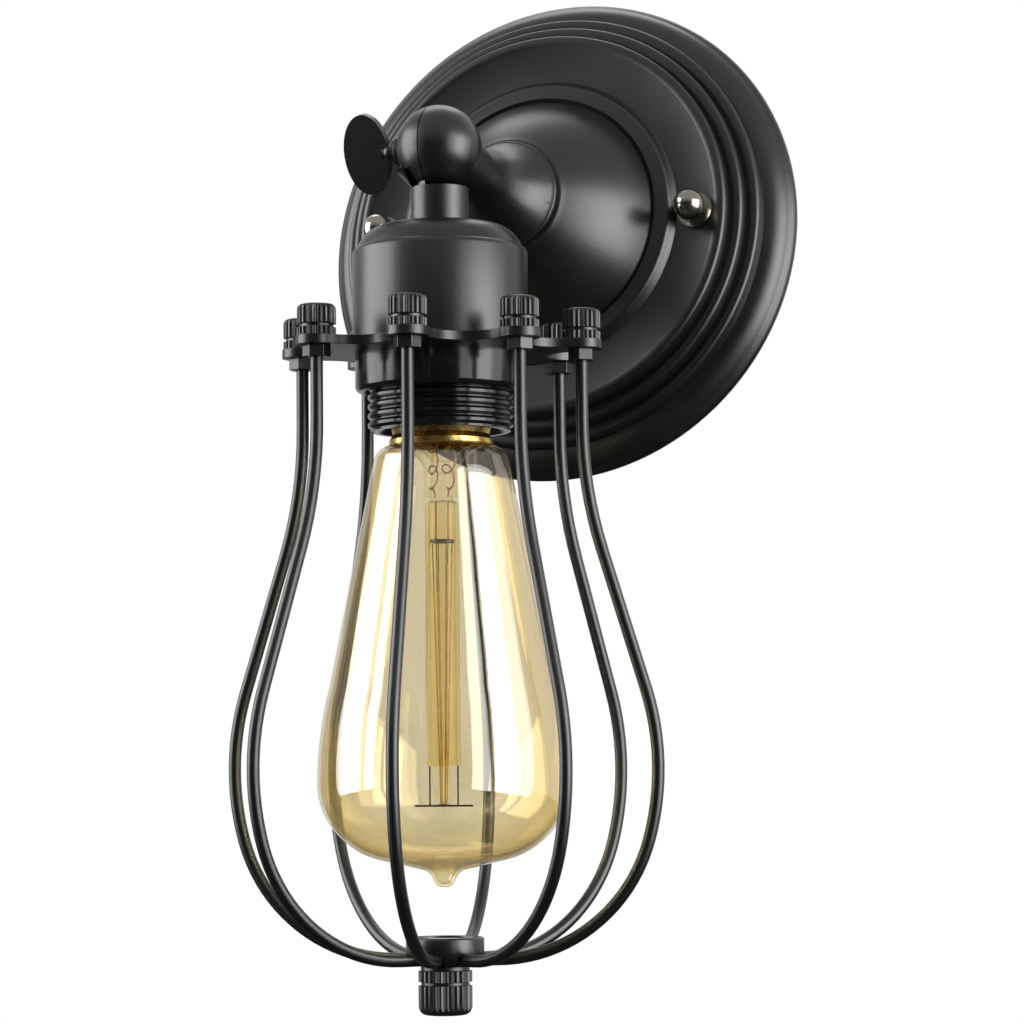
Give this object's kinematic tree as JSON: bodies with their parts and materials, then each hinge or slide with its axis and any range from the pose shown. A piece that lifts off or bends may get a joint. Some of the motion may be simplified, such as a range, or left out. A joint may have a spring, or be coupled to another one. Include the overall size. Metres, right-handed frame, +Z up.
{
  "type": "cage wall light",
  "caption": "Wall light whose stepped round canopy, flared arm and clamped ball swivel hold a cup lampholder, a cage of bowed wires and a long tapered filament bulb.",
  "frame": {"origin": "middle of the canopy's back face, on the wall", "axes": "+Y points into the wall, +Z up, +X to the right of a viewer who faces the wall; the light stands out toward -Y"},
  "size_m": [0.138, 0.1212, 0.2885],
  "materials": {
    "satin_black": "satin black paint",
    "zinc": "bright zinc plate",
    "dark_nickel": "polished dark nickel",
    "green_screw": "green dyed zinc",
    "plain_steel": "turned steel",
    "phenolic": "glossy moulded black",
    "brass": "pressed brass",
    "cap_brass": "polished brass",
    "cap_insulator": "black glass insulator",
    "tin": "soldered tin",
    "amber_glass": "clear amber tinted glass",
    "clear_glass": "clear glass",
    "copper": "copper plated wire",
    "gold_filament": "golden filament strands",
    "support_wire": "dark support wire"
  },
  "bodies": {
    "fixture": {"canopy": "satin_black", "wall_bar": "zinc", "bar_studs": "zinc", "stud_lock_nuts": "zinc", "ball_nuts": "dark_nickel", "ground_screw": "green_screw", "arm_tube": "plain_steel", "arm_lock_nut": "plain_steel", "arm_lock_washer": "zinc", "swivel_fixed_half": "satin_black"},
    "head": {"swivel_moving_half": "satin_black", "head_tube": "plain_steel", "cup_lock_nut": "plain_steel", "socket_cup": "satin_black", "socket_body": "phenolic", "screw_shell": "brass", "centre_contact": "brass", "terminal_screws": "brass", "shade_ring": "phenolic", "cage_plate": "satin_black", "cage_wires": "satin_black", "cage_cap_nuts": "satin_black", "cage_hex_nuts": "satin_black", "hub": "satin_black", "hub_screw": "plain_steel", "hub_washer": "satin_black", "hub_nut": "satin_black"},
    "clamp": {"wing_screw": "satin_black", "spring_washer": "satin_black"},
    "bulb": {"bulb_cap": "cap_brass", "bulb_insulator": "cap_insulator", "bulb_contact": "tin", "bulb_glass": "amber_glass", "bulb_stem": "clear_glass", "bulb_leads": "copper", "filament": "gold_filament", "filament_supports": "support_wire"}
  },
  "joints": [
    {"name": "head_tilt", "type": "hinge", "parent": "fixture", "child": "head", "pos_m": [0, -0.087, 0], "axis": [1, 0, 0], "range_deg": [-198, 3]},
    {"name": "wing_screw_turn", "type": "hinge", "parent": "fixture", "child": "clamp", "pos_m": [-0.0082, -0.087, 0], "axis": [1, 0, 0], "continuous": true},
    {"name": "bulb_turn", "type": "hinge", "parent": "head", "child": "bulb", "pos_m": [0, -0.087, 0], "axis": [0, -0.1392, 0.9903], "continuous": true}
  ]
}
